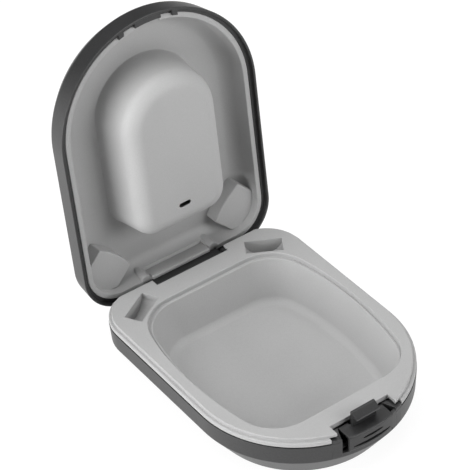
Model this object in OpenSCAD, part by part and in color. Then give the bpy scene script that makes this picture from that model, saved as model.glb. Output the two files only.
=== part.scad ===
// Hard pocket case for a pair of hearing aids. Two dark shells, each with a pale moulded inset,
// meet at a pinned hinge at the back and a sprung push latch in front.
// X runs along the hinge, -Y is the latch side, Z is up and Z = 0 is the flat bottom.
// The lid is drawn closed and then turned open about the hinge pin.

/* [Case] */
// Width along the hinge
case_w = 72; // [69:0.5:80]
// Length from latch to hinge
case_l = 96.4; // [93:0.2:106]
// Plan radius of the two corners beside the hinge
corner_r = 14; // [12.5:0.5:16]
// Wall thickness of both shells
wall = 1.8; // [1.6:0.1:2]

/* [Base shell] */
// Height of the base shell
base_h = 16.45; // [16:0.05:19]
// Height of the crease between the bevel and the side wall
base_crease = 9.7; // [8.5:0.1:10.5]
// How far the flat bottom lies inside the outline
base_bevel = 7.25; // [5:0.25:7.75]
// How far the side wall leans in from its top edge to the crease
base_draft = 0.35; // [0.1:0.05:0.6]
// Height of the shadow line under the tray's flange
shadow_h = 0.3; // [0.2:0.05:0.5]
// Depth of the shadow line
shadow_d = 0.5; // [0.3:0.05:0.8]

/* [Tray] */
// Thickness of the tray's flange
flange_t = 1.5; // [1.2:0.1:2]
// Height of the raised lip above the flange
lip_h = 1.2; // [0.8:0.1:1.6]
// Width of the flange that shows outside the lip
lip_in = 1.1; // [0.95:0.05:1.5]
// Thickness of the tray's top
plate_t = 1.6; // [1.2:0.1:2]
// Thickness of the tray's walls and floor
tray_t = 1.35; // [1.1:0.05:1.6]
// Space between the tray's floor and the shell
floor_gap = 0.2; // [0.1:0.05:0.5]

/* [Cavity] */
// Width of the top between the cavity and each side
side_border = 4.4; // [4:0.1:6]
// Width of the top between the cavity and the front or the back
end_border = 13.2; // [12.8:0.1:16]
// Plan radius of the cavity's bowed sides
cavity_side_r = 78; // [65:1:120]
// Plan radius of the cavity's corners
cavity_corner_r = 10; // [9.5:0.1:13]
// Width of the ledge round the cavity's mouth
ledge_w = 1.15; // [0.8:0.05:1.4]
// Depth of that ledge below the top
ledge_d = 0.75; // [0.5:0.05:1.1]
// How far the walls have leaned in where they would meet the floor
cavity_lean = 5.2; // [4:0.1:5.6]
// Radius between the walls and the floor
cavity_fillet = 3; // [2:0.1:3.6]

/* [Cell slots] */
// Thickness of the button cell that stands on edge in a slot
cell_t = 5.4; // [3.6:0.1:5.8]
// Room at each side of the cell
cell_gap = 0.35; // [0.2:0.05:0.5]
// Length of a slot, with finger room beyond the cell
slot_l = 12.3; // [11:0.1:13]
// Depth of a slot in its middle
slot_depth = 5.8; // [5:0.1:6.5]
// Radius of a slot's hollow floor
slot_r = 6.8; // [6.6:0.1:8]
// Distance of a slot's middle from the side of the case
slot_side = 12.1; // [11.5:0.1:13]
// Distance of a slot's middle from the back of the case
slot_back = 10.8; // [10.3:0.1:11.5]
// Angle of a slot to the hinge
slot_turn = 30; // [24:1:36]

/* [Lid shell] */
// Height of the lid above the joint of the two shells
lid_h = 12.6; // [12:0.1:16]
// Height of the lid's side wall, up to its crease
lid_crease = 7.6; // [6.5:0.1:8.2]
// How far the side wall leans in from the rim to the crease
lid_draft = 0.8; // [0.4:0.05:1.1]
// How far the flat top lies inside the outline
lid_bevel = 4.6; // [4:0.1:5.4]
// Thickness of the rim's outer lip
rim_t = 0.85; // [0.7:0.05:0.9]
// Height of that lip
rim_step = 1.35; // [1.3:0.05:1.8]
// Space between the closed rim and the tray's flange
rim_gap = 0.05; // [0.05:0.05:0.2]

/* [Lid liner] */
// Thickness of the liner
liner_t = 1.2; // [1:0.05:1.4]
// Width of the liner's lip
liner_lip_w = 1.7; // [1.5:0.05:2]
// Thickness of the liner's lip
liner_lip_t = 1.35; // [1.1:0.05:1.6]
// How far the bowl's wall leans in between lip and bottom
bowl_lean = 1.6; // [1:0.1:2]
// Radius between the bowl's wall and its bottom
bowl_fillet = 4.2; // [3:0.1:4.6]
// Space between liner and shell
liner_gap = 0.24; // [0.15:0.01:0.4]

/* [Pad] */
// Width of the pad
pad_w = 36.8; // [30:0.2:42]
// Length of the pad
pad_l = 57.2; // [50:0.2:60]
// Distance of the pad from the back of the case
pad_back = 21.8; // [20:0.2:24]
// Plan radius of the pad's corners beside the hinge
pad_corner_r = 9; // [8:0.1:12]
// How far the pad stands out of the lid's rim
pad_drop = 7.1; // [5:0.1:8]
// Rounding of the pad's edge
pad_round = 5.5; // [4:0.1:6]
// How far the pad's side leans in
pad_draft = 1.3; // [0.8:0.1:1.6]
// Length of the slot in the pad
pad_slot_l = 4; // [3:0.1:6]
// Width of that slot
pad_slot_w = 1.1; // [0.8:0.1:1.6]
// Distance of the slot from the pad's edge beside the hinge
pad_slot_in = 9.6; // [8:0.1:14]

/* [Lid bosses] */
// Length of a corner boss along its inner side
boss_l = 15; // [12:0.5:17]
// Depth of a boss below the closed rim
boss_depth = 3.6; // [3:0.1:5]
// Bow of a boss's inner side
boss_bow = 1; // [0.5:0.1:1.5]
// Distance of a boss's inner side from the middle of the corner's round
boss_in = 1.5; // [0.5:0.1:3]
// How far a boss is moved along its inner side, away from the hinge
boss_shift = 0.9; // [0:0.1:1.5]
// Distance of each half-round rib from the middle
rib_x = 13.4; // [12.6:0.1:15]
// Radius of a rib
rib_r = 2.3; // [1.8:0.1:2.6]
// How far a rib's deep end leans towards the front
rib_lean = 2.6; // [2:0.1:3.2]

/* [Hinge] */
// Distance of the hinge axis from the back of the case
hinge_in = 2.16; // [2.05:0.01:2.6]
// Height of the closed rim above the hinge axis
hinge_drop = 3.35; // [3.2:0.05:3.8]
// Width of the gap for the lid's barrel
hinge_l = 28; // [24:0.5:30]
// Diameter of the hinge pin
hinge_pin_d = 2; // [1.5:0.1:2.2]
// Thickness of the cheek at each end of the gap
cheek_t = 4.5; // [3.5:0.1:4.8]
// Room in front of the lid's barrel
notch_room = 0.7; // [0.5:0.1:1]
// Angle of the open lid from closed
open_angle = 94.7; // [90:0.1:95]

/* [Latch] */
// Width of the button
button_w = 16.8; // [14:0.1:17.4]
// Gap beside the button
button_gap = 1.6; // [1:0.1:2]
// Height of the button's bottom edge
button_z = 11.6; // [11.2:0.1:12]
// Height of the ledge on top of the button
button_top = 17.25; // [17:0.05:17.3]
// How far the button stands out of the wall
button_proud = 0.4; // [0.2:0.05:0.5]
// Thickness of the button's front and ledge
button_t = 1.6; // [1.3:0.1:1.8]
// Distance of the upper grip groove below the ledge
upper_groove_drop = 2; // [1.6:0.1:2.4]
// Length of the upper grip groove
upper_groove_l = 7; // [5:0.5:8]
// Distance of the lower grip groove below the ledge
lower_groove_drop = 4.1; // [3.8:0.1:4.4]
// Length of the lower grip groove
lower_groove_l = 12.6; // [10:0.2:13.6]
// Depth of the grip grooves
groove_r = 0.5; // [0.3:0.05:0.6]
// Width of the hook
hook_w = 8.8; // [7:0.1:9.4]
// Thickness of the hook's stem
hook_t = 1.3; // [1.1:0.05:1.4]
// Distance of the stem from the front of the case
stem_in = 3.7; // [3.6:0.05:3.8]
// Height of the hook's head
hook_h = 2.05; // [1.8:0.05:2.2]
// Height of the hook's blunt tip
hook_lip = 0.55; // [0.4:0.05:0.7]
// Reach of the hook over the catch
hook_reach = 1.05; // [0.8:0.05:1.1]
// Distance of the catch's edge from the front of the case
catch_in = 2.85; // [2.75:0.05:2.9]
// Thickness of the lid's catch
catch_t = 1.5; // [1.2:0.05:1.6]
// Height of the catch above the closed rim
catch_lift = 0.75; // [0.6:0.05:0.9]
// Diameter of the latch pin
latch_pin_d = 1.4; // [1.2:0.1:1.6]
// Distance of the latch pin from the front of the case
latch_pin_in = 3.2; // [3.1:0.1:3.4]
// Height of the latch pin
latch_pin_z = 12.4; // [12.2:0.1:12.8]
// Thickness of the leaf spring
leaf_t = 0.3; // [0.2:0.05:0.4]
// Width of the leaf spring
leaf_w = 8; // [6:0.5:10]
// Length of the leaf's foot between its two ribs
leaf_grip = 4; // [3:0.5:5]

/* [Clearances] */
// Play of a pin in a turning bore, on the radius
pin_play = 0.05; // [0.02:0.01:0.08]
// Play of a pin in its seat, on the radius
seat_play = 0.02; // [0.01:0.01:0.04]
// Gap between pieces that move past each other
move_gap = 0.3; // [0.2:0.05:0.4]
// Gap between pieces that fit together
fit_gap = 0.1; // [0.05:0.05:0.2]

/* [Hidden] */
$fn = 128;
eps = 0.02;
far = 40;
fillet_steps = 5;
corner_steps = 7;
bow_steps = 14;

half_w = case_w / 2;
half_l = case_l / 2;
front_c = half_w - half_l;
flange_top = base_h + flange_t;
tray_top = flange_top + lip_h;
rim_z = flange_top + rim_gap;
lid_top = rim_z + lid_h;
hinge_y = half_l - hinge_in;
hinge_z = rim_z - hinge_drop;
barrel_r = hinge_in - fit_gap / 2;
barrel_l = hinge_l - 2 * move_gap;
notch_y = hinge_y - barrel_r - notch_room;

// Base shell section
base_slope = (base_bevel - base_draft) / base_crease;
base_side = wall * sqrt(1 + base_slope * base_slope);
base_in_crease = (base_bevel + base_side - wall - base_draft) / base_slope;

// Tray section
tray_floor = wall + floor_gap + tray_t;
ledge_z = tray_top - ledge_d;
plate_z = tray_top - plate_t;
cavity_tilt = atan((cavity_lean - ledge_w) / (ledge_z - tray_floor));
cavity_round = cavity_lean + cavity_fillet * tan((90 - cavity_tilt) / 2);
under_in = 3.2;
rib_h = 3;
rib_t = 1.2;

// Lid sections
lip_z = rim_z + rim_step;
seat_in = rim_t + lip_in + fit_gap / 2;
liner_in = seat_in + fit_gap;
shoulder_z = lip_z + liner_lip_t;
shoulder_w = 0.5;
shoulder_in = liner_in + shoulder_w;
lid_slope = (lid_bevel - lid_draft) / (lid_h - lid_crease);
lid_side = wall * sqrt(1 + lid_slope * lid_slope);
lid_in_top = lid_bevel + lid_side - lid_slope * wall;
lid_in_crease = lid_top - (lid_bevel + lid_side - shoulder_in) / lid_slope;
valley_z = lid_top - wall - liner_gap - liner_t;
bowl_in = liner_in + liner_lip_w;
bowl_tilt = atan(bowl_lean / (valley_z - lip_z));
bowl_round = bowl_in + bowl_lean + bowl_fillet * tan((90 - bowl_tilt) / 2);
bowl_skin = liner_t / cos(bowl_tilt);
pad_z = rim_z - pad_drop;
pad_y = half_l - pad_back;
pad_c = pad_y - pad_l + pad_w / 2;
boss_z = rim_z + boss_depth;

// Cell slots
slot_w = cell_t + 2 * cell_gap;
slot_x = half_w - slot_side;
slot_y = half_l - slot_back;

// Latch
front_y = -half_l;
button_half = button_w / 2;
latch_half = button_half + button_gap;
cheek_room = 0.9;
cheek_w = 3.2;
tray_gap_half = latch_half + cheek_room;
flange_gap_half = latch_half + cheek_w;
latch_pin_y = front_y + latch_pin_in;
latch_pin_half = latch_half + cheek_w / 2;
lug_t = 0.75;
lug_w = 2;
lug_r = latch_pin_d / 2 + lug_t;
stem_y = front_y + stem_in;
stem_back = stem_y + hook_t;
catch_y = front_y + catch_in;
hook_tip = catch_y - hook_reach;
catch_z = rim_z + catch_lift;
catch_top = catch_z + catch_t;
hook_under = catch_top + 2 * fit_gap;
hook_top = hook_under + hook_h;
hook_room = 0.5;
press_room = 1.5;
ledge_back = stem_back + 2 * fit_gap;
tray_gap_y = stem_back + press_room;
leaf_tip = button_top - button_t / 2;
leaf_rib_t = 1;
leaf_foot_y = ledge_back + 2 * leaf_rib_t + fit_gap;
leaf_foot_z = base_crease - leaf_grip;
leaf_bend_z = base_crease + hook_room;

// Points on an arc about a centre
function arc(centre, r, from, to, steps = fillet_steps) =
    [for (i = [0:steps]) let (a = from + (to - from) * i / steps) centre + r * [cos(a), sin(a)]];

// Half of a section: the steps of [inset, height] seen from a centre that lies r inside the outline
function half_section(r, steps) = concat(
    [[0, steps[0][1]]],
    [for (s = steps) [r - s[0], s[1]]],
    [[0, steps[len(steps) - 1][1]]]
);

// Whole section, for a stretch of the outline that lies r to both sides
function full_section(r, steps) = concat(
    [for (s = steps) [r - s[0], s[1]]],
    [for (i = [len(steps) - 1:-1:0]) [steps[i][0] - r, steps[i][1]]]
);

// Solid on a plan that is half round in front, straight at the sides and has two round corners behind
module d_solid(hw, centre, back, r, steps) {
    straight = back - r - centre;
    translate([0, centre, 0])
        rotate([0, 0, 180])
            rotate_extrude(angle = 180)
                polygon(half_section(hw, steps));
    translate([0, back - r, 0])
        rotate([90, 0, 0])
            linear_extrude(straight)
                polygon(full_section(hw, steps));
    translate([0, back - r, 0])
        rotate([90, 0, 90])
            linear_extrude(2 * (hw - r), center = true)
                polygon(half_section(r, steps));
    for (side = [0, 1])
        mirror([side, 0, 0])
            translate([hw - r, back - r, 0])
                rotate_extrude(angle = 90)
                    polygon(half_section(r, steps));
}

// Solid on the plan of the case
module case_solid(steps) {
    d_solid(half_w, front_c, half_l, corner_r, steps);
}

// Solid on the plan of the pad
module pad_solid(steps) {
    d_solid(pad_w / 2, pad_c, pad_y, pad_corner_r, steps);
}

// Points of the cavity's plan at an inset: bowed sides and round corners, going round to the left
function cavity_ring(inset) =
    let (
        hw = half_w - side_border,
        r = cavity_corner_r,
        bow_c = hw - cavity_side_r,
        cy = half_l - end_border - r,
        turn = asin(cy / (cavity_side_r - r)),
        cx = cy / tan(turn) + bow_c,
        side = arc([bow_c, 0], cavity_side_r - inset, -turn, turn, bow_steps),
        corner = arc([cx, cy], r - inset, turn, 90, corner_steps),
        half = concat(
            [for (i = [corner_steps:-1:0]) [corner[i][0], -corner[i][1]]],
            [for (i = [1:bow_steps - 1]) side[i]],
            corner
        )
    )
    concat(half, [for (q = half) -q]);

// Solid on the plan of the cavity
module cavity_solid(steps) {
    rings = [for (s = steps) cavity_ring(s[0])];
    n = len(rings[0]);
    top = len(steps) - 1;
    points = [for (i = [0:top]) for (q = rings[i]) [q[0], q[1], steps[i][1]]];
    sides = [
        for (i = [0:top - 1])
            for (k = [0:n - 1])
                let (j = (k + 1) % n)
                [i * n + k, (i + 1) * n + k, (i + 1) * n + j, i * n + j]
    ];
    polyhedron(points, concat([[for (k = [0:n - 1]) k]], sides, [[for (k = [n - 1:-1:0]) top * n + k]]));
}

// Cylinder along X, centred
module rod(r, length) {
    rotate([0, 90, 0])
        cylinder(r = r, h = length, center = true);
}

// Box given by its two far corners
module box(low, high) {
    translate(low)
        cube(high - low);
}

// Plan drawn as [y, z] points, drawn out along X
module x_prism(width, points) {
    rotate([90, 0, 90])
        linear_extrude(width, center = true)
            polygon(points);
}

// Turns a closed lid piece open about the hinge pin
module opened() {
    translate([0, hinge_y, hinge_z])
        rotate([-open_angle, 0, 0])
            translate([0, -hinge_y, -hinge_z])
                children();
}

// Room that the lid's back rim sweeps through, kept clear of the base
module rim_sweep() {
    difference() {
        box([-far, hinge_y, hinge_z], [far, hinge_y + far, hinge_z + far]);
        translate([0, hinge_y, hinge_z])
            rod(hinge_drop - move_gap, 3 * far);
    }
}

// Slot for one button cell that stands on edge in a back corner, with a hollow floor
module cell_slot(grow) {
    half = slot_l / 2 + grow;
    r = slot_r + grow;
    w = slot_w + 2 * grow;
    axis_z = tray_top - slot_depth + slot_r;
    top = grow > 0 ? plate_z + eps : tray_top + eps;
    translate([slot_x, slot_y, axis_z])
        rotate([0, 0, -slot_turn])
            intersection() {
                rotate([90, 0, 0])
                    cylinder(r = r, h = 2 * w, center = true);
                box([-half, -w / 2, -2 * r], [half, w / 2, top - axis_z]);
            }
}

module base_shell() {
    inner = [
        [base_bevel + base_side - base_slope * wall, wall],
        [wall + base_draft, base_in_crease],
        [wall, base_h + eps]
    ];
    outer = [
        [base_bevel, 0],
        [base_draft, base_crease],
        [0, base_h - shadow_h],
        [shadow_d, base_h - shadow_h],
        [shadow_d, base_h]
    ];
    cheek_in = hinge_l / 2 + cheek_t;
    color("#2b2b2d")
        difference() {
            union() {
                difference() {
                    case_solid(outer);
                    case_solid(inner);
                }
                hinge_cheeks(cheek_in);
                latch_cheeks();
                leaf_holder();
            }
            translate([0, hinge_y, hinge_z])
                rod(hinge_pin_d / 2 + seat_play, 2 * cheek_in + 2 * eps);
            box([-hinge_l / 2, hinge_y - barrel_r - move_gap, hinge_z - barrel_r - move_gap],
                [hinge_l / 2, half_l + eps, base_h + eps]);
            box([-latch_half, front_y - far, button_z - move_gap], [latch_half, ledge_back, tray_top]);
            translate([0, latch_pin_y, latch_pin_z])
                rod(latch_pin_d / 2 + seat_play, 2 * latch_pin_half);
            translate([0, latch_pin_y, latch_pin_z])
                rod(lug_r + move_gap, 2 * latch_half);
            rim_sweep();
        }
}

// Solid cheeks that carry the ends of the hinge pin
module hinge_cheeks(cheek_in) {
    for (side = [0, 1])
        mirror([side, 0, 0])
            box([hinge_l / 2 - eps, notch_y + fit_gap, hinge_z - barrel_r - notch_room],
                [cheek_in, half_l - wall / 2, base_h]);
}

// Solid cheeks beside the button, with the wall raised to the button's ledge
module latch_cheeks() {
    cheek_z = latch_pin_z - lug_r - notch_room;
    cheek_back = half_w - wall - hook_room;
    for (side = [0, 1])
        mirror([side, 0, 0]) {
            box([latch_half - eps, latch_pin_y, cheek_z], [flange_gap_half - fit_gap, ledge_back, base_h]);
            intersection() {
                translate([0, front_c, 0])
                    rotate([0, 0, 180])
                        rotate_extrude(angle = 180)
                            polygon([
                                [cheek_back, cheek_z],
                                [half_w - base_draft, cheek_z],
                                [half_w - fit_gap, button_top],
                                [cheek_back, button_top]
                            ]);
                box([latch_half - eps, front_y - far, cheek_z],
                    [flange_gap_half - fit_gap, front_c, button_top]);
            }
        }
}

// Two ribs on the shell's floor that pinch the foot of the leaf spring
module leaf_holder() {
    for (y = [leaf_foot_y - leaf_t / 2 - leaf_rib_t, leaf_foot_y + leaf_t / 2])
        box([-leaf_w / 2, y, wall], [leaf_w / 2, y + leaf_rib_t, base_crease]);
}

module base_tray() {
    rib_out = wall + base_draft + fit_gap;
    skin = tray_t / cos(cavity_tilt);
    cavity = concat(
        arc([cavity_round, tray_floor + cavity_fillet], cavity_fillet, 270, 180 + cavity_tilt),
        [[ledge_w, ledge_z], [0, ledge_z], [0, tray_top + eps]]
    );
    tub = concat(
        arc([cavity_round, tray_floor + cavity_fillet], cavity_fillet + tray_t, 270, 180 + cavity_tilt),
        [[ledge_w + (ledge_z - plate_z) * tan(cavity_tilt) - skin, plate_z + eps]]
    );
    color("#b9b9b9")
        difference() {
            union() {
                difference() {
                    case_solid([
                        [fit_gap, base_h],
                        [fit_gap, flange_top],
                        [lip_in, flange_top],
                        [lip_in, tray_top]
                    ]);
                    case_solid([[under_in, base_h - eps], [under_in, plate_z]]);
                }
                cavity_solid(tub);
                for (side = [0, 1])
                    mirror([side, 0, 0]) {
                        cell_slot(liner_t);
                        box([half_w - rib_out - rib_t, front_c, base_h - rib_h],
                            [half_w - rib_out, half_l - corner_r, plate_z + eps]);
                    }
            }
            cavity_solid(cavity);
            for (side = [0, 1])
                mirror([side, 0, 0])
                    cell_slot(0);
            box([-hinge_l / 2, notch_y, base_h - eps], [hinge_l / 2, half_l + eps, tray_top + eps]);
            box([-tray_gap_half, front_y - far, base_h - eps], [tray_gap_half, tray_gap_y, tray_top + eps]);
            box([-flange_gap_half, front_y - far, base_h - fit_gap],
                [flange_gap_half, tray_gap_y - move_gap, flange_top + fit_gap]);
            rim_sweep();
        }
}

// Lid shell as it sits when closed
module closed_lid_shell() {
    outer = [[0, rim_z], [lid_draft, rim_z + lid_crease], [lid_bevel, lid_top]];
    inner = [
        [rim_t, rim_z - eps],
        [rim_t, lip_z],
        [seat_in, lip_z],
        [seat_in, shoulder_z],
        [shoulder_in, shoulder_z],
        [shoulder_in, lid_in_crease],
        [lid_in_top, lid_top - wall]
    ];
    arm_out = barrel_r - fit_gap / 2;
    arm_in = rib_t;
    difference() {
        union() {
            difference() {
                case_solid(outer);
                case_solid(inner);
            }
            box([-barrel_l / 2, hinge_y - arm_in, hinge_z],
                [barrel_l / 2, hinge_y + arm_out, lip_z - fit_gap / 2]);
            translate([0, hinge_y, hinge_z])
                rod(barrel_r, barrel_l);
            box([-hook_w / 2, front_y + wall, catch_z], [hook_w / 2, catch_y, catch_top]);
            for (side = [0, 1])
                mirror([side, 0, 0])
                    snap_tab();
        }
        translate([0, hinge_y, hinge_z])
            rod(hinge_pin_d / 2 + pin_play, hinge_l);
        box([-hook_w / 2 - move_gap, hook_tip - hook_room, catch_top],
            [hook_w / 2 + move_gap, catch_y + hook_room, hook_top + hook_room]);
    }
}

// Tab of the lid shell that holds the liner's lip beside the hook
module snap_tab() {
    tab_w = 2.4;
    tab_t = 1;
    tab_l = 2;
    tab_x = latch_half - move_gap;
    wall_y = front_c - sqrt(half_w * half_w - tab_x * tab_x) + rim_t / 2;
    box([tab_x - tab_w / 2, wall_y, lip_z - tab_t], [tab_x + tab_w / 2, wall_y + tab_l, lip_z]);
}

module lid_shell() {
    color("#2b2b2d")
        opened()
            closed_lid_shell();
}

// Outside of the liner without its pad, which also bounds the bosses and ribs
module liner_block() {
    case_solid(concat(
        [
            [liner_in, lip_z],
            [liner_in, shoulder_z],
            [bowl_in + liner_lip_t * tan(bowl_tilt) - bowl_skin, shoulder_z]
        ],
        arc([bowl_round, valley_z - bowl_fillet], bowl_fillet + liner_t, 180 - bowl_tilt, 90)
    ));
}

// Raised boss in a back corner of the lid, above the cell slot
module corner_boss() {
    bow_r = boss_l * boss_l / (8 * boss_bow) + boss_bow / 2;
    translate([half_w - corner_r, half_l - corner_r, 0])
        rotate([0, 0, 45])
            translate([0, -boss_shift, 0])
                intersection() {
                    box([-boss_in - boss_bow, -boss_l / 2, boss_z],
                        [2 * corner_r, boss_l / 2, valley_z + eps]);
                    translate([bow_r - boss_in - boss_bow, 0, boss_z])
                        cylinder(r = bow_r, h = lid_h);
                }
}

// Half-round rib on the back wall of the liner, over the end of the hinge
module hinge_rib() {
    deep = valley_z - lip_z;
    translate([rib_x, half_l - liner_in, lip_z])
        rotate([atan(rib_lean / deep), 0, 0])
            cylinder(r = rib_r, h = 2 * deep, center = true);
}

// Lid liner as it sits when closed
module closed_lid_liner() {
    bowl = concat(
        [[bowl_in, lip_z - eps]],
        arc([bowl_round, valley_z - bowl_fillet], bowl_fillet, 180 - bowl_tilt, 90)
    );
    pad = concat(
        arc([pad_draft + pad_round, pad_z + pad_round], pad_round, 270, 180),
        [[0, valley_z + eps]]
    );
    pad_hollow = concat(
        arc([pad_draft + pad_round, pad_z + pad_round], pad_round - liner_t, 270, 180),
        [[liner_t, valley_z + liner_t + eps]]
    );
    apron_y = notch_y + move_gap + fit_gap;
    slot_end = (pad_slot_l - pad_slot_w) / 2;
    difference() {
        union() {
            difference() {
                liner_block();
                case_solid(bowl);
            }
            intersection() {
                liner_block();
                for (side = [0, 1])
                    mirror([side, 0, 0]) {
                        corner_boss();
                        hinge_rib();
                    }
            }
            pad_solid(pad);
            box([-rib_x + rib_r, apron_y, rim_z + fit_gap],
                [rib_x - rib_r, apron_y + liner_t, shoulder_z + liner_lip_t]);
        }
        pad_solid(pad_hollow);
        translate([0, pad_y - pad_slot_in, pad_z])
            for (end = [-1, 1])
                translate([end * slot_end, 0, 0])
                    cylinder(d = pad_slot_w, h = 4 * liner_t, center = true);
        translate([0, pad_y - pad_slot_in, pad_z])
            cube([2 * slot_end, pad_slot_w, 4 * liner_t], center = true);
        box([-hook_w / 2 - move_gap, front_y, lip_z - eps],
            [hook_w / 2 + move_gap, stem_back + 2 * press_room, hook_top + move_gap + fit_gap]);
    }
}

module lid_liner() {
    color("#a6a6a6")
        opened()
            closed_lid_liner();
}

module hinge_pin() {
    color("#b8babd")
        translate([0, hinge_y, hinge_z])
            rod(hinge_pin_d / 2, hinge_l + 2 * cheek_t - 2 * fit_gap);
}

module latch_button() {
    front_r = half_w + button_proud;
    back_r = front_c - ledge_back - button_t;
    hook_bevel = 0.15;
    color("#3a3a3c")
        difference() {
            union() {
                intersection() {
                    translate([0, front_c, 0])
                        rotate([0, 0, 180])
                            rotate_extrude(angle = 180)
                                polygon([
                                    [front_r - button_t, button_z],
                                    [front_r, button_z],
                                    [front_r, button_top],
                                    [back_r, button_top],
                                    [back_r, button_top - button_t],
                                    [front_r - button_t, button_top - button_t]
                                ]);
                    box([-button_half, front_y - far, button_z], [button_half, ledge_back, button_top]);
                }
                for (side = [0, 1])
                    mirror([side, 0, 0])
                        pivot_lug(front_r - button_t);
                x_prism(hook_w, [
                    [stem_back, button_top - button_t],
                    [stem_back, hook_top],
                    [stem_back - lug_t, hook_top],
                    [hook_tip, hook_under + hook_lip],
                    [hook_tip, hook_under + hook_bevel],
                    [stem_y, hook_under],
                    [stem_y, button_top - button_t]
                ]);
            }
            translate([0, latch_pin_y, latch_pin_z])
                rod(latch_pin_d / 2 + pin_play, button_w + 2 * eps);
            grip_groove(front_r, button_top - upper_groove_drop, upper_groove_l / 2);
            grip_groove(front_r, button_top - lower_groove_drop, lower_groove_l / 2);
        }
}

// Lug of the button round the latch pin, joined to the back of its front wall
module pivot_lug(wall_r) {
    x = button_half - lug_w;
    wall_y = front_c - sqrt(wall_r * wall_r - x * x) - button_t / 2;
    box([x, wall_y, latch_pin_z - lug_t], [button_half, latch_pin_y, latch_pin_z + lug_r]);
    translate([button_half - lug_w / 2, latch_pin_y, latch_pin_z])
        rod(lug_r, lug_w);
}

// Finger groove across the button's front, along the curve of the wall
module grip_groove(front_r, z, half_length) {
    turn = asin(half_length / front_r);
    translate([0, front_c, z])
        rotate([0, 0, 270 - turn])
            rotate_extrude(angle = 2 * turn)
                translate([front_r, 0])
                    circle(groove_r);
}

module latch_pin() {
    color("#b8babd")
        translate([0, latch_pin_y, latch_pin_z])
            rod(latch_pin_d / 2, 2 * latch_pin_half - 2 * fit_gap);
}

module latch_spring() {
    y0 = leaf_foot_y - leaf_t / 2;
    y1 = leaf_foot_y + leaf_t / 2;
    tip_y = ledge_back + fit_gap / 2;
    color("#c9cbce")
        x_prism(leaf_w, [
            [y0, leaf_foot_z],
            [y1, leaf_foot_z],
            [y1, leaf_bend_z],
            [tip_y + leaf_t, leaf_tip],
            [tip_y, leaf_tip],
            [y0, leaf_bend_z - leaf_t / 2]
        ]);
}

base_shell();
base_tray();
lid_shell();
lid_liner();
hinge_pin();
latch_button();
latch_pin();
latch_spring();
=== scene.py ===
import math

import bmesh
import bpy
from mathutils import Matrix, Vector

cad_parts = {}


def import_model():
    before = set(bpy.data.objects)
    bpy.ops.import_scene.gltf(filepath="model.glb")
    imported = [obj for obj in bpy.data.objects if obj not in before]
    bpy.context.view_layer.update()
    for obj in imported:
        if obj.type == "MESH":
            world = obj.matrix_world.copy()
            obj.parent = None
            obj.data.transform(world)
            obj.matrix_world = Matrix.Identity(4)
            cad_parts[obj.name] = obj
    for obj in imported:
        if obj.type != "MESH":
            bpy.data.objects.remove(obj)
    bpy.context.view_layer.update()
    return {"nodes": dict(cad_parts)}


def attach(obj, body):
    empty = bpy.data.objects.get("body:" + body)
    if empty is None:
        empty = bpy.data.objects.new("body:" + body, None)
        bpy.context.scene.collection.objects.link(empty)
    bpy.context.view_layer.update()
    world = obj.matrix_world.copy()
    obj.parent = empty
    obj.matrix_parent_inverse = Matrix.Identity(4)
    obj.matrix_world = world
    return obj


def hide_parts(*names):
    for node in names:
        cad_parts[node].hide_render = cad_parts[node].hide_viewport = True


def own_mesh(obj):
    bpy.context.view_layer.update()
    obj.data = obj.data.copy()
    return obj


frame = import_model()

MM = 0.001

# The case in millimetres, with its lid closed.
# X runs along the hinge, -Y towards the latch, Z up from the flat bottom.
HALF_W, HALF_L, CORNER = 36.0, 48.2, 14.0
FRONT_C = HALF_W - HALF_L  # centre of the round front end
BASE_H, FLANGE_TOP, TRAY_TOP = 16.45, 17.95, 19.15
RIM_Z, LID_TOP = 18.0, 30.6
LIP_Z, VALLEY_Z = 19.35, 27.36
PAD_Z, PAD_W, PAD_Y, PAD_C, PAD_R = 10.9, 18.4, 26.4, -12.4, 9.0

# Hinge: axis, opening angle, half widths of the gap in the base and of the lid's barrel.
HINGE_Y, HINGE_Z, OPEN = 46.04, 14.65, 94.7
HINGE_HALF, BARREL_HALF = 14.0, 13.7

# Latch: axis, half widths, the backs of the hook's stem and of the button's ledge,
# the heights of the cheeks beside the button and the radius of their front.
LATCH_Y, LATCH_Z = -45.0, 12.4
BUTTON_HALF, LATCH_HALF, HOOK_HALF, CATCH_HALF = 8.2, 10.1, 4.4, 4.7
STEM_BACK, LEDGE_BACK = -43.2, -42.1
CHEEK_LOW, LATCH_TOP, CHEEK_R = 10.2, 17.25, 35.93

# Cutters reach past the case by this much.
FAR, ABOVE = 60.0, 30.0

TO_OPEN = (
    Matrix.Translation(Vector((0, HINGE_Y, HINGE_Z)) * MM)
    @ Matrix.Rotation(math.radians(-OPEN), 4, "X")
    @ Matrix.Translation(Vector((0, -HINGE_Y, -HINGE_Z)) * MM)
)


def spread(a, b, n):
    """Even steps from a towards b, with b left out."""
    return [a + (b - a) * i / n for i in range(n)]


def through(a, b, n):
    """Even steps from a to b, with both ends."""
    return spread(a, b, n) + [b]


def on_circle(cx, cy, r, angles):
    """Points on a circle at angles in radians."""
    return [(cx + r * math.cos(a), cy + r * math.sin(a)) for a in angles]


def arc(cx, cz, r, a0, a1, n):
    """Section points on an arc between two angles in degrees, with both ends."""
    return on_circle(cx, cz, r, [math.radians(a) for a in through(a0, a1, n)])


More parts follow.
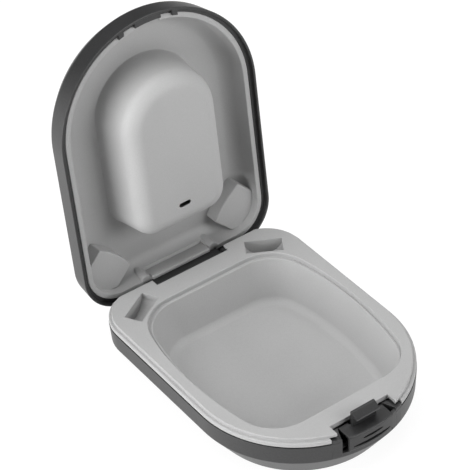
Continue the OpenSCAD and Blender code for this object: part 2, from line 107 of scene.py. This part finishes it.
def rounded(corners, steps=4):
    """Section with rounded corners: each corner is (inset, height, radius)."""
    most = 0.49  # share of an edge that one corner may take
    out = []
    for i, (x, z, r) in enumerate(corners):
        if r <= 0 or i in (0, len(corners) - 1):
            out.append((x, z))
            continue
        p = Vector((x, z))
        u = Vector(corners[i - 1][:2]) - p
        v = Vector(corners[i + 1][:2]) - p
        t = min(r / math.tan(u.angle(v) / 2), most * u.length, most * v.length)
        a, b = p + u.normalized() * t, p + v.normalized() * t
        for k in range(steps + 1):
            s = k / steps
            q = a * (1 - s) ** 2 + p * 2 * s * (1 - s) + b * s * s
            out.append((q.x, q.y))
    return out


def fillet_centre(corner, fillet, lean):
    """Inset of the centre of a fillet between a level floor and a wall that leans."""
    return corner + fillet * math.tan((math.pi / 2 - lean) / 2)


def front_y(r, x):
    """Place of the round front end, at a radius and a distance from the middle."""
    return FRONT_C - math.sqrt(r * r - x * x)


def d_ring(inset, z, hw=HALF_W, yc=FRONT_C, yb=HALF_L, rc=CORNER):
    """Plan of the case or the pad at an inset: round front, straight sides, round back corners."""
    n_side, n_corner, n_back, n_front = 14, 18, 16, 80
    cx, cy = hw - rc, yb - rc
    pts = [(hw - inset, y) for y in spread(yc, cy, n_side)]
    pts += on_circle(cx, cy, rc - inset, spread(0, math.pi / 2, n_corner))
    pts += [(x, yb - inset) for x in spread(cx, -cx, n_back)]
    pts += on_circle(-cx, cy, rc - inset, spread(math.pi / 2, math.pi, n_corner))
    pts += [(inset - hw, y) for y in spread(cy, yc, n_side)]
    pts += on_circle(0, yc, hw - inset, spread(math.pi, 2 * math.pi, n_front))
    return [(x, y, z) for x, y in pts]


def barrel_ring(inset, z, front=0.0, waist=0.0):
    """Plan of the cavity at an inset: bowed sides, straight ends, corners round to the floor.

    The front end stands further forward by a given amount, so that the ledge runs out there.
    The sides stand further in by the waist, so that the ledge is narrow along them.
    """
    hw, hl, bow = 31.8 - inset, 35.4 - inset, 106.0 - inset
    rc = 14.3 - 0.45 * inset
    middle_y = 0.45
    waist_y, waist_l, waist_x, front_l = 4, 22, 20, 32
    bow_c, cy = hw - bow, hl - rc
    turn = math.asin(cy / (bow - rc))
    cx = cy / math.tan(turn) + bow_c
    side = on_circle(bow_c, 0, bow, spread(0, turn, 16))
    side += on_circle(cx, cy, rc, spread(turn, math.pi / 2, 22))
    side += [(x, hl) for x in spread(cx, 0, 8)]
    pts = side + [(0, hl)] + [(-x, y) for x, y in reversed(side[1:])]
    pts += [(-x, -y) for x, y in side] + [(0, -hl)] + [(x, -y) for x, y in reversed(side[1:])]
    out = []
    for x, y in pts:
        along = max(1 - ((y + waist_y) / waist_l) ** 2, 0)
        side_in = waist * along * min(abs(x) / waist_x, 1)
        forward = front * min(max(-y / front_l, 0), 1) ** 2
        out.append((x - math.copysign(side_in, x), y + middle_y - forward, z))
    return out


def loft(rings):
    """Closed skin through rings of the same count."""
    bm = bmesh.new()
    vs = [[bm.verts.new(Vector(p) * MM) for p in ring] for ring in rings]
    n = len(rings[0])
    for a, b in zip(vs, vs[1:]):
        for k in range(n):
            j = (k + 1) % n
            bm.faces.new((a[k], a[j], b[j], b[k]))
    bm.faces.new(list(reversed(vs[0])))
    bm.faces.new(vs[-1])
    bmesh.ops.recalc_face_normals(bm, faces=bm.faces[:])
    return bm


def bevel(bm, edges, width, steps):
    """Rounds the given edges of a mesh."""
    bmesh.ops.bevel(
        bm,
        geom=edges,
        offset=width * MM,
        segments=steps,
        profile=0.5,
        affect="EDGES",
        clamp_overlap=True,
    )


def soften(bm, width, steps=2, angle=30, where=None):
    """Rounds the sharp edges of a mesh."""
    edges = []
    for e in bm.edges:
        sharp = len(e.link_faces) == 2 and e.calc_face_angle(0) > math.radians(angle)
        if sharp and (where is None or where(e)):
            edges.append(e)
    if edges:
        bevel(bm, edges, width, steps)
    return bm


def box(low, high, r=0.15):
    """Box with rounded edges."""
    bm = bmesh.new()
    bmesh.ops.create_cube(bm, size=1)
    lo, hi = Vector(low) * MM, Vector(high) * MM
    for v in bm.verts:
        v.co = Vector([lo[i] if v.co[i] < 0 else hi[i] for i in range(3)])
    return soften(bm, r) if r else bm


def prism_x(points, half, r=0.0):
    """Outline of (y, z) points drawn out along X to both sides, with rounded edges."""
    bm = loft([[(x, y, z) for y, z in points] for x in (-half, half)])
    return soften(bm, r) if r else bm


def rod(y, z, r, x0, x1):
    """Rod along X with rounded ends."""
    edge, turn = 0.15, spread(0, 2 * math.pi, 40)
    ends = ((x0, r - edge), (x0 + edge, r), (x1 - edge, r), (x1, r - edge))
    return loft([[(x, *p) for p in on_circle(y, z, q, turn)] for x, q in ends])


def arc_block(x0, x1, n, r_out, r_in, z0, z1):
    """Block that follows the round front end between two radii."""
    rings = []
    for x in through(x0, x1, n):
        y_out, y_in = front_y(r_out, x), front_y(r_in, x)
        rings.append([(x, y_out, z0), (x, y_out, z1), (x, y_in, z1), (x, y_in, z0)])
    return soften(loft(rings), 0.12, 2, 50)


def turned(bm, x, y, degrees):
    """The mesh, turned about Z and moved to a place in plan."""
    turn = Matrix.Rotation(math.radians(degrees), 4, "Z")
    bm.transform(Matrix.Translation(Vector((x, y, 0)) * MM) @ turn)
    return bm


def mirrored(bm):
    """The mesh and its mirror image in X, as two meshes."""
    other = bm.copy()
    for v in other.verts:
        v.co.x = -v.co.x
    bmesh.ops.reverse_faces(other, faces=other.faces[:])
    return [bm, other]


def edit(obj, change):
    """Applies a change to an object's mesh."""
    bm = bmesh.new()
    bm.from_mesh(obj.data)
    change(bm)
    bm.to_mesh(obj.data)
    bm.free()


def add(obj, meshes):
    """Adds closed meshes to an object without cutting."""

    def gather(total):
        for bm in meshes:
            part = bpy.data.meshes.new("part")
            bm.to_mesh(part)
            bm.free()
            total.from_mesh(part)
            bpy.data.meshes.remove(part)

    edit(obj, gather)


def make(name, meshes):
    """One object from one mesh or several."""
    obj = bpy.data.objects.new(name, bpy.data.meshes.new(name))
    bpy.context.scene.collection.objects.link(obj)
    add(obj, meshes)
    return obj


def combine(obj, meshes, operation="DIFFERENCE"):
    """Cuts or joins further meshes into an object."""
    for bm in meshes:
        tool = make("tool", [bm])
        mod = obj.modifiers.new("cut", "BOOLEAN")
        mod.operation, mod.solver, mod.object = operation, "EXACT", tool
        bpy.context.view_layer.update()
        shown = obj.evaluated_get(bpy.context.evaluated_depsgraph_get())
        done = bpy.data.meshes.new_from_object(shown)
        obj.modifiers.clear()
        old = obj.data
        done.name = old.name
        obj.data = done
        bpy.data.meshes.remove(old)
        bpy.data.objects.remove(tool)


def dress(obj, material, body, node, lid=False, angle=32):
    """Smooth shading, material and place in the assembly."""
    mesh = obj.data
    if lid:
        mesh.transform(TO_OPEN)
    mesh.materials.clear()
    mesh.materials.append(material)
    for p in mesh.polygons:
        p.use_smooth = True
        p.material_index = 0
    mesh.set_sharp_from_angle(angle=math.radians(angle))
    mod = obj.modifiers.new("normals", "WEIGHTED_NORMAL")
    mod.keep_sharp = True
    mod.weight = 70
    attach(obj, body)
    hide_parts(node)


def node_material(name):
    """New material with its node tree."""
    mat = bpy.data.materials.new(name)
    mat.use_nodes = True
    return mat, mat.node_tree


def shader(tree, kind, values=None):
    """New shader node with values for some of its inputs."""
    new = tree.nodes.new("ShaderNode" + kind)
    for key, value in (values or {}).items():
        new.inputs[key].default_value = value
    return new


def link(tree, source, output, target, entry):
    """Link from an output of one shader node to an input of another."""
    tree.links.new(source.outputs[output], target.inputs[entry])


def shade_and_gloss(tree, shade, gloss, ends, colours, rough, spread_by):
    """Base colour from one (node, output), and uneven roughness from another."""
    bsdf = tree.nodes["Principled BSDF"]
    ramp = shader(tree, "ValToRGB")
    for element, at, colour in zip(ramp.color_ramp.elements, ends, colours):
        element.position = at
        element.color = (*colour, 1)
    link(tree, *shade, ramp, "Fac")
    link(tree, ramp, "Color", bsdf, "Base Color")
    level = shader(tree, "MapRange", {"To Min": rough - spread_by, "To Max": rough + spread_by})
    link(tree, *gloss, level, "Value")
    link(tree, level, "Result", bsdf, "Roughness")


def plastic(name, dark, light, rough, grain_mm, bump):
    """Moulded plastic: fine grain, slow shade changes and uneven gloss."""
    mat, nt = node_material(name)
    coord = shader(nt, "TexCoord")
    grain = shader(nt, "TexNoise", {"Scale": 1 / (grain_mm * MM), "Detail": 3})
    slow = shader(nt, "TexNoise", {"Scale": 60, "Detail": 2})
    for noise in (grain, slow):
        link(nt, coord, "Object", noise, "Vector")
    mix = shader(nt, "Mix")
    mix.data_type = "FLOAT"
    mix.inputs["Factor"].default_value = 0.3
    link(nt, grain, "Fac", mix, "A")
    link(nt, slow, "Fac", mix, "B")
    shade_and_gloss(nt, (mix, "Result"), (slow, "Fac"), (0.3, 0.7), (dark, light), rough, 0.03)
    height = shader(nt, "Bump", {"Strength": bump, "Distance": 0.05 * MM})
    link(nt, grain, "Fac", height, "Height")
    link(nt, height, "Normal", nt.nodes["Principled BSDF"], "Normal")
    return mat


def steel(name, shade, rough):
    """Drawn or rolled steel with fine streaks along X."""
    mat, nt = node_material(name)
    nt.nodes["Principled BSDF"].inputs["Metallic"].default_value = 1.0
    coord = shader(nt, "TexCoord")
    stretch = shader(nt, "Mapping", {"Scale": (150, 9000, 9000)})
    link(nt, coord, "Object", stretch, "Vector")
    streak = shader(nt, "TexNoise", {"Scale": 1.0})
    link(nt, stretch, "Vector", streak, "Vector")
    dark = (shade * 0.75, shade * 0.75, shade * 0.77)
    light = (shade, shade, shade * 1.02)
    source = (streak, "Fac")
    shade_and_gloss(nt, source, source, (0.0, 1.0), (dark, light), rough, 0.08)
    return mat


SHELL = plastic("shell_plastic", (0.018, 0.018, 0.0185), (0.031, 0.031, 0.0315), 0.42, 0.55, 0.8)
LATCH = plastic("latch_plastic", (0.016, 0.016, 0.0165), (0.026, 0.026, 0.0265), 0.4, 0.55, 0.7)
TRAY = plastic("tray_plastic", (0.335,) * 3, (0.375,) * 3, 0.58, 0.35, 0.08)
# The liner is the tray's plastic painted a shade lighter. This is painted light, making up for the
# light that the inside of the open lid lacks.
LINER = plastic("liner_plastic_painted_lighter", (0.355,) * 3, (0.395,) * 3, 0.58, 0.35, 0.08)
PIN = steel("pin_steel", 0.6, 0.3)
# The latch pin is steel painted near-black. This is painted shade, so that the pin reads as the
# dark of the slit beside the button.
PIN_PAINTED_SHADE = steel("latch_pin_painted_shade", 0.06, 0.4)
SPRING = steel("spring_steel", 0.55, 0.35)


def base_shell():
    """Dark shell of the base, with the cheeks at hinge and latch and the spring's two ribs."""
    section = rounded(
        [
            (7.25, 0, 0),
            (7.0, 0.0, 0),
            (6.75, 0.35, 0.9),
            (0.35, 9.7, 0.9),
            (0, 16.15, 0.12),
            (0.5, 16.15, 0),
            (0.5, BASE_H, 0.08),
            (1.8, BASE_H, 0.1),
            (2.15, 10.27, 0.5),
            (8.17, 1.8, 0.6),
            (10.0, 1.8, 0),
        ]
    )
    obj = make("base_shell_skin", [loft([d_ring(i, z) for i, z in section])])
    latch_gap = box((-LATCH_HALF, -FAR, 11.3), (LATCH_HALF, LEDGE_BACK, ABOVE), 0)
    hinge_gap = box((-HINGE_HALF, 43.63, 12.24), (HINGE_HALF, FAR, ABOVE), 0)
    combine(obj, [latch_gap, hinge_gap])

    def hinge_gap_edge(e):
        a, b = (v.co / MM for v in e.verts)
        inside = max(abs(a.x), abs(b.x)) < HINGE_HALF + 0.05
        return min(a.y, b.y) > 45 and min(a.z, b.z) > 12.1 and inside

    edit(obj, lambda bm: soften(bm, 0.2, 2, 50, hinge_gap_edge))
    hinge_cheek = box((13.98, 43.35, 11.8), (18.5, 47.3, 16.4), 0.2)
    rings = []
    for x in (10.06, 10.6, 11.3, 12.0, 12.6, 13.1):
        front = front_y(CHEEK_R, x)
        outline = [(front, CHEEK_LOW), (front, LATCH_TOP)]
        outline += [(LEDGE_BACK, LATCH_TOP), (LEDGE_BACK, CHEEK_LOW)]
        rings.append([(x, y, z) for y, z in outline])
    cheek = soften(loft(rings), 0.18, 2, 50)
    # The photo shows a slit beside the button on the left only, so a stop fills the right one.
    stop = arc_block(8.45, 10.2, 4, CHEEK_R, 34.9, CHEEK_LOW, 16.9)
    ribs = [box((-4, y, 1.6), (4, y + 1, 9.7), 0.1) for y in (-42.05, -40.75)]
    wedge = [(8.35, LEDGE_BACK), (10.3, LEDGE_BACK), (10.3, -46.4)]
    filler = soften(loft([[(x, y, z) for x, y in wedge] for z in (CHEEK_LOW, 17.5)]), 0.1)
    add(obj, mirrored(hinge_cheek) + mirrored(cheek) + mirrored(filler) + [stop] + ribs)
    dress(obj, SHELL, "base", "base_shell")


def slot_block(grow, top):
    """Cell slot in a back corner, or the outside of its pocket: upright ends, hollow floor."""
    half, w, r, axis = 6.15 + grow, 3.05 + grow, 6.8 + grow, 20.15
    floor_line = [(u, axis - math.sqrt(r * r - u * u)) for u in through(half, -half, 40)]
    outline = [(half, top)] + floor_line + [(-half, top)]
    return turned(loft([[(u, v, z) for u, z in outline] for v in (-w, w)]), 23.9, 37.4, -30)


def base_tray():
    """Light inset of the base: flange, raised top, cavity with its ledge, two cell slots."""
    slab = rounded(
        [
            (6.0, 17.55, 0),
            (3.2, 17.55, 0),
            (3.2, BASE_H, 0),
            (0.1, BASE_H, 0.25),
            (0.1, FLANGE_TOP, 0.3),
            (1.1, FLANGE_TOP, 0.12),
            (1.1, TRAY_TOP, 0.35),
            (4.0, TRAY_TOP, 0),
        ]
    )
    obj = make("base_tray_skin", [loft([d_ring(i, z) for i, z in slab])])

    # Cavity: a floor with a fillet up to a leaning wall, then the ledge round the mouth.
    floor_in, floor_z, ledge_in, ledge_z, groove_z = 5.4, 3.35, 1.3, 17.85, 17.64
    fillet, wall, front, tub_top = 3.0, 1.35, 1.45, 17.9
    mouth_top = TRAY_TOP + 0.07
    lean = math.atan((floor_in - ledge_in) / (ledge_z - floor_z))
    tilt = math.degrees(lean)
    centre = (fillet_centre(floor_in, fillet, lean), floor_z + fillet)
    tub = arc(*centre, fillet + wall, 270, 180 + tilt, 8) + [(0.0, tub_top)]
    tub = loft([barrel_ring(i, z, front) for i, z in tub])
    combine(obj, [tub] + mirrored(slot_block(1.2, tub_top)), "UNION")
    mouth = rounded(
        [
            (5.0, 5.0, 0),
            (ledge_in, ledge_z, 0.2),
            (0.75, ledge_z, 0.1),
            (0.6, groove_z, 0.08),
            (0.1, groove_z, 0.12),
            (0.0, mouth_top, 0.5),
            (-1.0, mouth_top, 0),
        ],
        5,
    )[1:-1]
    rings = [barrel_ring(i, z, front) for i, z in arc(*centre, fillet, 270, 180 + tilt, 10)]
    for i, z in mouth + [(mouth[-1][0], 24.0)]:
        rings.append(barrel_ring(i, z, 1.1 * max(i, 0), 0.3 * (ledge_in - min(i, ledge_in))))
    combine(obj, [loft(rings)] + mirrored(slot_block(0, 25)))

    # Room for the hinge, the latch and the swing of the lid's arm.
    gap_y, swing = 43.24, 3.05
    quarter = spread(0, math.pi / 2, 12)
    sweep = [(HINGE_Y + swing * math.sin(a), HINGE_Z + swing * math.cos(a)) for a in quarter]
    sweep += [(HINGE_Y + swing, HINGE_Z), (70, HINGE_Z), (70, 40), (HINGE_Y, 40)]
    combine(
        obj,
        [
            box((-HINGE_HALF, gap_y, 10), (HINGE_HALF, FAR, ABOVE), 0),
            box((-10.9, -FAR, 10), (10.9, -41.7, ABOVE), 0),
            box((-13.2, -FAR, 10), (13.2, -42.0, 18.05), 0),
            box((-15.4, gap_y, 10), (15.4, FAR, 18.3), 0),
            prism_x(sweep, FAR),
        ],
    )

    def cut_edge(e):
        a, b = (v.co / MM for v in e.verts)
        if min(a.z, b.z) <= TRAY_TOP - 0.05:
            return False
        m = (a + b) / 2
        slot = 30 < m.y < 43.5 and abs(m.x) > 15.5
        notch = (m.y > 43.2 or m.y < -41.6) and abs(m.x) < HINGE_HALF + 0.1
        back = m.y > 45.9
        return slot or notch or back

    def clean(bm):
        flat = math.radians(0.05)
        bmesh.ops.remove_doubles(bm, verts=bm.verts[:], dist=0.0005 * MM)
        bmesh.ops.dissolve_limit(bm, angle_limit=flat, verts=bm.verts[:], edges=bm.edges[:])
        soften(bm, 0.25, 3, 60, cut_edge)

    edit(obj, clean)
    dress(obj, TRAY, "base", "base_tray")


def lid_shell():
    """Dark shell of the lid, with the hinge barrel and its arm, the catch and two snap tabs."""
    section = rounded(
        [
            (10.0, LID_TOP, 0),
            (4.6, LID_TOP, 2.2),
            (0.82, 25.58, 2.5),
            (0.0, RIM_Z, 0.25),
            (0.85, RIM_Z, 0.2),
            (0.85, LIP_Z, 0.1),
            (2.0, LIP_Z, 0.1),
            (2.0, 20.7, 0),
            (2.6, 20.7, 0),
            (2.6, 24.98, 0),
            (5.49, 28.8, 0),
            (10.0, 28.8, 0),
        ],
        5,
    )
    obj = make("lid_shell_skin", [loft([d_ring(i, z) for i, z in section])])
    hook_pocket = box((-4.9, -46.9, 20.1), (4.9, -40, 23.2), 0)
    combine(obj, [hook_pocket])
    arm_front, arm_back, arm_top = HINGE_Y - 0.9, HINGE_Y + 2.05, 19.3
    arm = box((-BARREL_HALF, arm_front, HINGE_Z), (BARREL_HALF, arm_back, arm_top), 0.2)
    barrel = rod(HINGE_Y, HINGE_Z, 1.55, -BARREL_HALF, BARREL_HALF)
    catch = arc_block(-CATCH_HALF, CATCH_HALF, 12, 35.3, 33.4, 18.3, 20.2)
    tab = arc_block(8.7, 10.7, 4, 35.3, 33.3, 18.35, 19.34)
    add(obj, [arm, barrel, catch] + mirrored(tab))
    dress(obj, SHELL, "lid", "lid_shell", lid=True)


def pad_ring(inset, z):
    """Plan of the lid's pad at an inset."""
    return d_ring(inset, z, PAD_W, PAD_C, PAD_Y, PAD_R)


def slot_ring(z, grow=0.0):
    """Oblong ring of the pad's slot, with as many points as the pad's rings."""
    half, r, y0 = 1.4, 0.8 + grow, PAD_Y - 9.6
    out = []
    for x, y, _ in pad_ring(0, 0):
        a = math.atan2(y - y0, x)
        c, s = math.cos(a), math.sin(a)
        if abs(c) < 1e-9 or abs(s) * half > r * abs(c) and abs(r * c / s) < half:
            out.append((r * c / abs(s), y0 + math.copysign(r, s), z))
        else:
            d = abs(c) * half + math.sqrt(max(r * r - (s * half) ** 2, 0))
            out.append((d * c, y0 + d * s, z))
    return out


def corner_boss():
    """Boss in a back corner of the lid, above a cell slot, with a hollow inner face."""
    back = ((7.0, 6.6), (10.3, 3.0), (10.3, -3.6), (6.8, -8.0))
    rings = []
    for z, out in ((21.6, 1.0), (27.5, 0.72)):
        face = through(-7.1, 7.5, 12)
        ring = [(-1.5 - (1 - (t / 7.5) ** 2), t - 0.9, z) for t in face]
        rings.append(ring + [(x * out, y, z) for x, y in back])
    return turned(soften(loft(rings), 0.45, 3, 40), 22.4, 34.1, 45)


def hinge_rib():
    """Half-round rib at the back wall of the lid, with a rounded end."""
    levels = [(1.5, LIP_Z), (1.7, LIP_Z + 0.1)]
    levels += [(1.8, LIP_Z + 0.35 + 0.9 * k) for k in range(8)]
    turn = spread(0, 2 * math.pi, 32)
    rings = []
    for r, z in levels:
        y = 44.7 - 0.03 * (z - LIP_Z)
        rings.append([(13.2 + r * math.cos(a), y - r * math.sin(a), z) for a in turn])
    return loft(rings)


def lid_liner():
    """Light inset of the lid: rim, valley and hollow pad, with bosses, ribs and an apron."""
    wall_in, wall_run, fillet = 3.8, 1.6, 4.2
    lean = math.atan(wall_run / (VALLEY_Z - LIP_Z))
    centre = (fillet_centre(wall_in + wall_run, fillet, lean), VALLEY_Z - fillet)
    rim = rounded(
        [
            (9.0, 28.5, 0),
            (5.8, 28.5, 0),
            (2.9, 24.9, 0),
            (2.75, 20.75, 0),
            (2.1, 20.7, 0),
            (2.1, LIP_Z, 0.25),
            (wall_in, LIP_Z, 0.35),
            (4.6, VALLEY_Z - fillet, 0),
        ]
    )[:-1]
    valley = arc(*centre, fillet, 180 - math.degrees(lean), 90, 10)
    rings = [d_ring(i, z) for i, z in rim + valley]

    # The pad: its foot, its leaning side, its round edge, then the slot into its hollow.
    pad_lean, pad_edge, foot = 1.3, 5.5, 0.5
    side_z, side_h = VALLEY_Z - foot, PAD_Z + pad_edge + foot - VALLEY_Z
    pad = [(-0.6, VALLEY_Z), (-0.2, VALLEY_Z - 0.12), (0.0, side_z)]
    pad += [(pad_lean * k / 5, side_z + side_h * k / 5) for k in range(1, 5)]
    pad += reversed(arc(pad_lean + pad_edge, PAD_Z + pad_edge, pad_edge, 270, 180, 16))
    rings += [pad_ring(i, z) for i, z in pad]
    slot = ((0, 0.15), (0.05, 0.05), (0.15, 0.0), (0.4, 0.0), (0.5, 2.0), (9.0, 2.0))
    rings += [slot_ring(PAD_Z + depth, grow) for depth, grow in slot]
    obj = make("lid_liner_skin", [loft(rings)])
    hook_room = box((-CATCH_HALF, -50, 18.0), (CATCH_HALF, -40.2, 22.9), 0)

    # The apron at the hinge is a rounded bulge below a crease.
    crease = [(42.0, 24.25), (44.65, 24.25), (44.35, 22.9)]
    crease += [(44.0, 21.4), (43.9, 21.2), (42.0, 21.2)]
    combine(obj, [hook_room, prism_x(crease, 11.3)])
    bulge = [(44.55, 24.2), (44.3, 23.0), (44.1, 22.0), (43.92, 21.0), (43.75, 20.0)]
    bulge += [(43.66, 19.4), (43.68, 18.9), (43.85, 18.6), (44.15, 18.42), (44.5, 18.4)]
    bulge += [(44.85, 18.4), (44.95, 19.0), (45.0, 24.2)]
    add(obj, mirrored(corner_boss()) + mirrored(hinge_rib()) + [prism_x(bulge, 11.1)])
    dress(obj, LINER, "lid", "lid_liner", lid=True)


def groove(x, z, at, length, height, depth):
    """Depth of a lens-shaped grip groove at a point of the button's front."""
    u = x / length
    if abs(u) >= 1:
        return 0.0
    bow = math.sqrt(1 - u * u)
    v = (z - at) / (height * bow)
    return depth * bow * (1 - v**8) if abs(v) < 1 else 0.0


def latch_button():
    """Push button with two grip grooves, a hook for the lid's catch and eyes for its pin."""
    front_r, low, high, edge, lip = 36.4, 11.6, LATCH_TOP, 0.5, 0.15
    grooves = ((15.25, 3.7, 0.42, 1.3), (13.15, 6.9, 0.5, 1.3))
    turn = spread(0, math.pi / 2, 4)
    rings = []
    for x in through(-BUTTON_HALF, BUTTON_HALF, 76):
        front = front_y(front_r, x)
        wall = 1.6 - 0.8 * min(max((abs(x) - 6.6) / 0.6, 0), 1)
        inner = front_y(front_r - wall, x)
        # The ledge stops short in the middle, where the spring stands.
        ledge = LEDGE_BACK if abs(x) > 4.6 else LEDGE_BACK - 0.9
        ring = []
        for a in turn:
            ring.append((front + edge * (1 - math.sin(a)), low + edge * (1 - math.cos(a))))
        for z in through(low + edge, high - edge, 52):
            ring.append((front + sum(groove(x, z, *g) for g in grooves), z))
        for a in turn:
            ring.append((front + edge * (1 - math.cos(a)), high - edge * (1 - math.sin(a))))
        ring += [(front + edge, high), (ledge - lip, high), (ledge, high - lip)]
        ring += [(ledge, high - wall), (inner, high - wall), (inner, low)]
        rings.append([(x, y, z) for y, z in ring])
    body = loft(rings)
    ends = [f for f in body.faces if abs(f.normal.x) > 0.99 and len(f.verts) > 20]
    bevel(body, [e for e in body.edges if any(f in ends for f in e.link_faces)], 0.2, 2)
    stem_front, stem_low, hook_top, hook_front = -44.5, 15.7, 22.5, -46.4
    hook = [
        (STEM_BACK, stem_low),
        (STEM_BACK, hook_top),
        (-43.95, hook_top),
        (hook_front, 21.0),
        (hook_front, 20.6),
        (stem_front, 20.45),
        (stem_front, stem_low),
    ]
    hook = prism_x(hook, HOOK_HALF, 0.18)
    eye_in, eye_out = 4.9, 6.5
    lug = box((eye_in, LATCH_Y - 0.7, LATCH_Z), (eye_out, LATCH_Y + 0.7, 15.8), 0.15)
    eye = rod(LATCH_Y, LATCH_Z, 1.45, eye_in, eye_out)
    obj = make("latch_button_skin", [body, hook] + mirrored(lug) + mirrored(eye))
    dress(obj, LATCH, "latch", "latch_button", angle=38)


def latch_spring():
    """Bent leaf behind the button, drawn at rest. The real leaf gives way towards its foot as the
    button is pressed.
    """
    foot, tip, leaf = -40.9, -42.95, 0.3
    low, bend, top = 5.7, 10.2, 16.45
    outline = [
        (foot - leaf / 2, low),
        (foot + leaf / 2, low),
        (foot + leaf / 2, bend),
        (tip + leaf, top),
        (tip, top),
        (foot - leaf / 2, bend - leaf / 2),
    ]
    obj = make("latch_spring_skin", [prism_x(outline, 4, 0.04)])
    dress(obj, SPRING, "base", "latch_spring")
    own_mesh(obj)


base_shell()
base_tray()
lid_shell()
lid_liner()
latch_button()
latch_spring()
# The latch pin gets the steel with painted shade.
for node, material in (("hinge_pin", PIN), ("latch_pin", PIN_PAINTED_SHADE)):
    piece = frame["nodes"][node]
    piece.data.materials.clear()
    piece.data.materials.append(material)


def floor():
    """Pale sheet that lights the case, and shows as white with a faint shadow."""
    bpy.ops.mesh.primitive_plane_add(size=6, location=(0, 0, -0.3 * MM))
    obj = bpy.context.object
    obj.name = "floor"
    mat, nt = node_material("floor_sheet")
    nt.nodes.clear()
    pale = shader(nt, "BsdfDiffuse", {"Color": (0.85, 0.85, 0.85, 1)})
    glow = shader(nt, "Emission", {"Strength": 0.11})
    sheet = shader(nt, "AddShader")
    link(nt, pale, "BSDF", sheet, 0)
    link(nt, glow, "Emission", sheet, 1)
    # The camera and reflections see mostly white.
    path = shader(nt, "LightPath")
    seen = shader(nt, "Math")
    seen.operation = "MAXIMUM"
    link(nt, path, "Is Camera Ray", seen, 0)
    link(nt, path, "Is Glossy Ray", seen, 1)
    share = shader(nt, "Math", {1: 0.85})
    share.operation = "MULTIPLY"
    link(nt, seen, "Value", share, 0)
    white = shader(nt, "Emission", {"Strength": 1.06})
    mix = shader(nt, "MixShader")
    link(nt, share, "Value", mix, "Fac")
    link(nt, sheet, "Shader", mix, 1)
    link(nt, white, "Emission", mix, 2)
    # From below the sheet is clear, so that the underside of the case can be seen.
    side = shader(nt, "NewGeometry")
    clear = shader(nt, "BsdfTransparent")
    two_sided = shader(nt, "MixShader")
    link(nt, side, "Backfacing", two_sided, "Fac")
    link(nt, mix, "Shader", two_sided, 1)
    link(nt, clear, "BSDF", two_sided, 2)
    link(nt, two_sided, "Shader", shader(nt, "OutputMaterial"), "Surface")
    obj.data.materials.append(mat)


def lamp(name, place, size, power):
    """Square area lamp that faces the case."""
    data = bpy.data.lights.new(name, "AREA")
    data.shape = "RECTANGLE"
    data.size = data.size_y = size
    data.energy = power
    obj = bpy.data.objects.new(name, data)
    obj.location = place
    aim = Vector((0, 0.02, 0.04)) - Vector(place)
    obj.rotation_euler = aim.to_track_quat("-Z", "Y").to_euler()
    bpy.context.scene.collection.objects.link(obj)


def world():
    """White to the camera, and dark to everything else."""
    studio = bpy.data.worlds.new("studio")
    bpy.context.scene.world = studio
    studio.use_nodes = True
    nt = studio.node_tree
    background = nt.nodes["Background"]
    background.inputs["Color"].default_value = (1, 1, 1, 1)
    link(nt, shader(nt, "LightPath"), "Is Camera Ray", background, "Strength")


def camera(place, lens, azimuth, elevation, roll):
    """Camera at a place in metres, turned by angles in degrees."""
    az, el, tip = (math.radians(a) for a in (azimuth, elevation, roll))
    back = Vector((math.sin(az) * math.cos(el), -math.cos(az) * math.cos(el), math.sin(el)))
    right = Vector((math.cos(az), math.sin(az), 0))
    up = back.cross(right)
    across = right * math.cos(tip) + up * math.sin(tip)
    upright = up * math.cos(tip) - right * math.sin(tip)
    data = bpy.data.cameras.new("camera")
    data.sensor_width = 36
    data.lens = lens
    data.clip_start = 0.01
    obj = bpy.data.objects.new("camera", data)
    facing = Matrix((across, upright, back)).transposed().to_4x4()
    obj.matrix_world = Matrix.Translation(place) @ facing
    bpy.context.scene.collection.objects.link(obj)
    bpy.context.scene.camera = obj


floor()
lamp("left", (-0.95, 0.0, 0.16), 0.6, 11.8)
lamp("right", (0.75, -0.6, 0.3), 0.5, 2.0)
lamp("front", (0.4, -0.9, 0.5), 0.5, 5.0)
lamp("top", (0.1, 0.15, 0.95), 0.9, 7.2)
lamp("top_left", (-0.6, 0.1, 0.8), 0.6, 4.2)
world()
# These were fitted to the photograph.
camera((-0.27192, -0.39123, 0.44696), 159.27, -33.61, 39.06, -3.75)
bpy.context.scene.view_settings.view_transform = "Standard"
